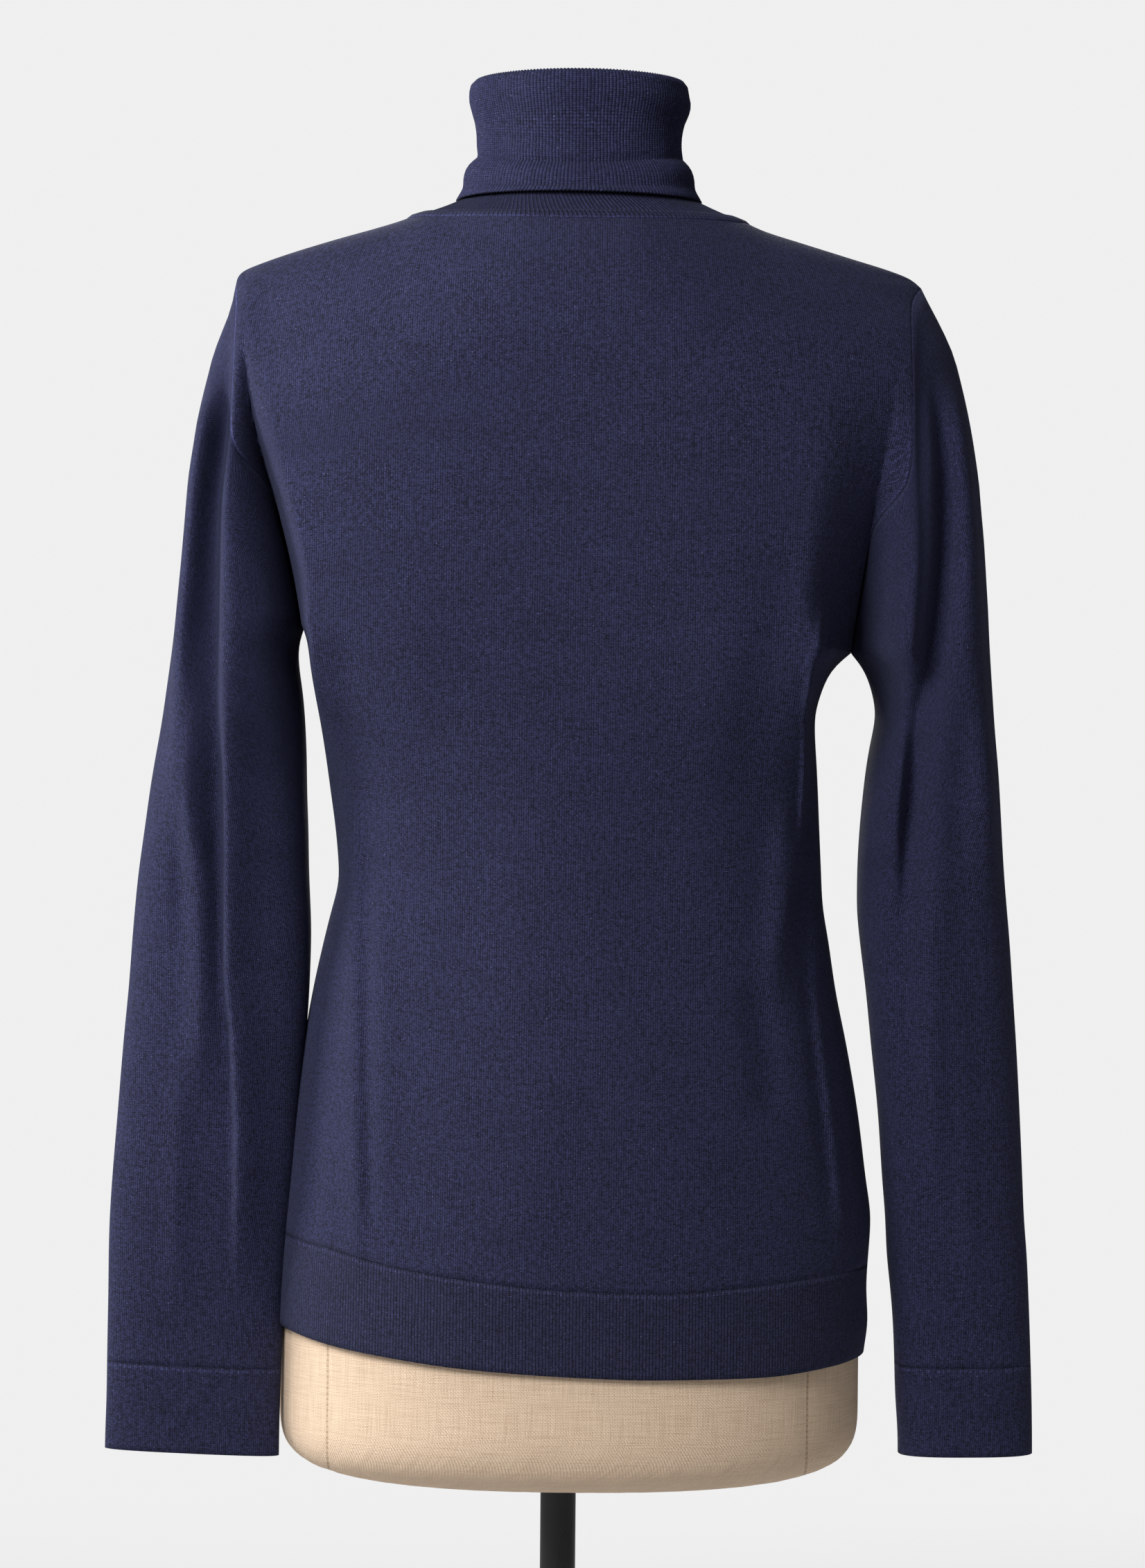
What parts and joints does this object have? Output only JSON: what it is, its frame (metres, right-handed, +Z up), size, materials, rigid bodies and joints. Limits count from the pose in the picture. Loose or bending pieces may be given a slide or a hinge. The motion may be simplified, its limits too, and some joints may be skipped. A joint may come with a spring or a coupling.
{
  "type": "turtleneck top on a limbless dress form with a pole stand",
  "caption": "Fine-knit long-sleeved turtleneck top with a folded ribbed collar, worn on a linen-covered limbless dress form that stands on a pole and a round base.",
  "frame": {"origin": "on the floor under the middle of the dress form, on the underside of the base", "axes": "+Z up, the front of the garment faces -Y and its back +Y, so the wearer's left is at +X"},
  "size_m": [0.5111, 0.3, 1.1015],
  "materials": {
    "navy_fine_knit": "matt fine wool knit with a soft short nap",
    "beige_linen": "matt woven linen",
    "black_satin_metal": "satin black paint"
  },
  "bodies": {
    "root": {"back": "navy_fine_knit", "front": "navy_fine_knit", "sleeve_left": "navy_fine_knit", "sleeve_right": "navy_fine_knit", "cuff_left": "navy_fine_knit", "cuff_right": "navy_fine_knit", "hem_back": "navy_fine_knit", "hem_front": "navy_fine_knit", "collar": "navy_fine_knit", "dress_form": "beige_linen", "pole": "black_satin_metal", "base": "black_satin_metal"}
  },
  "joints": []
}
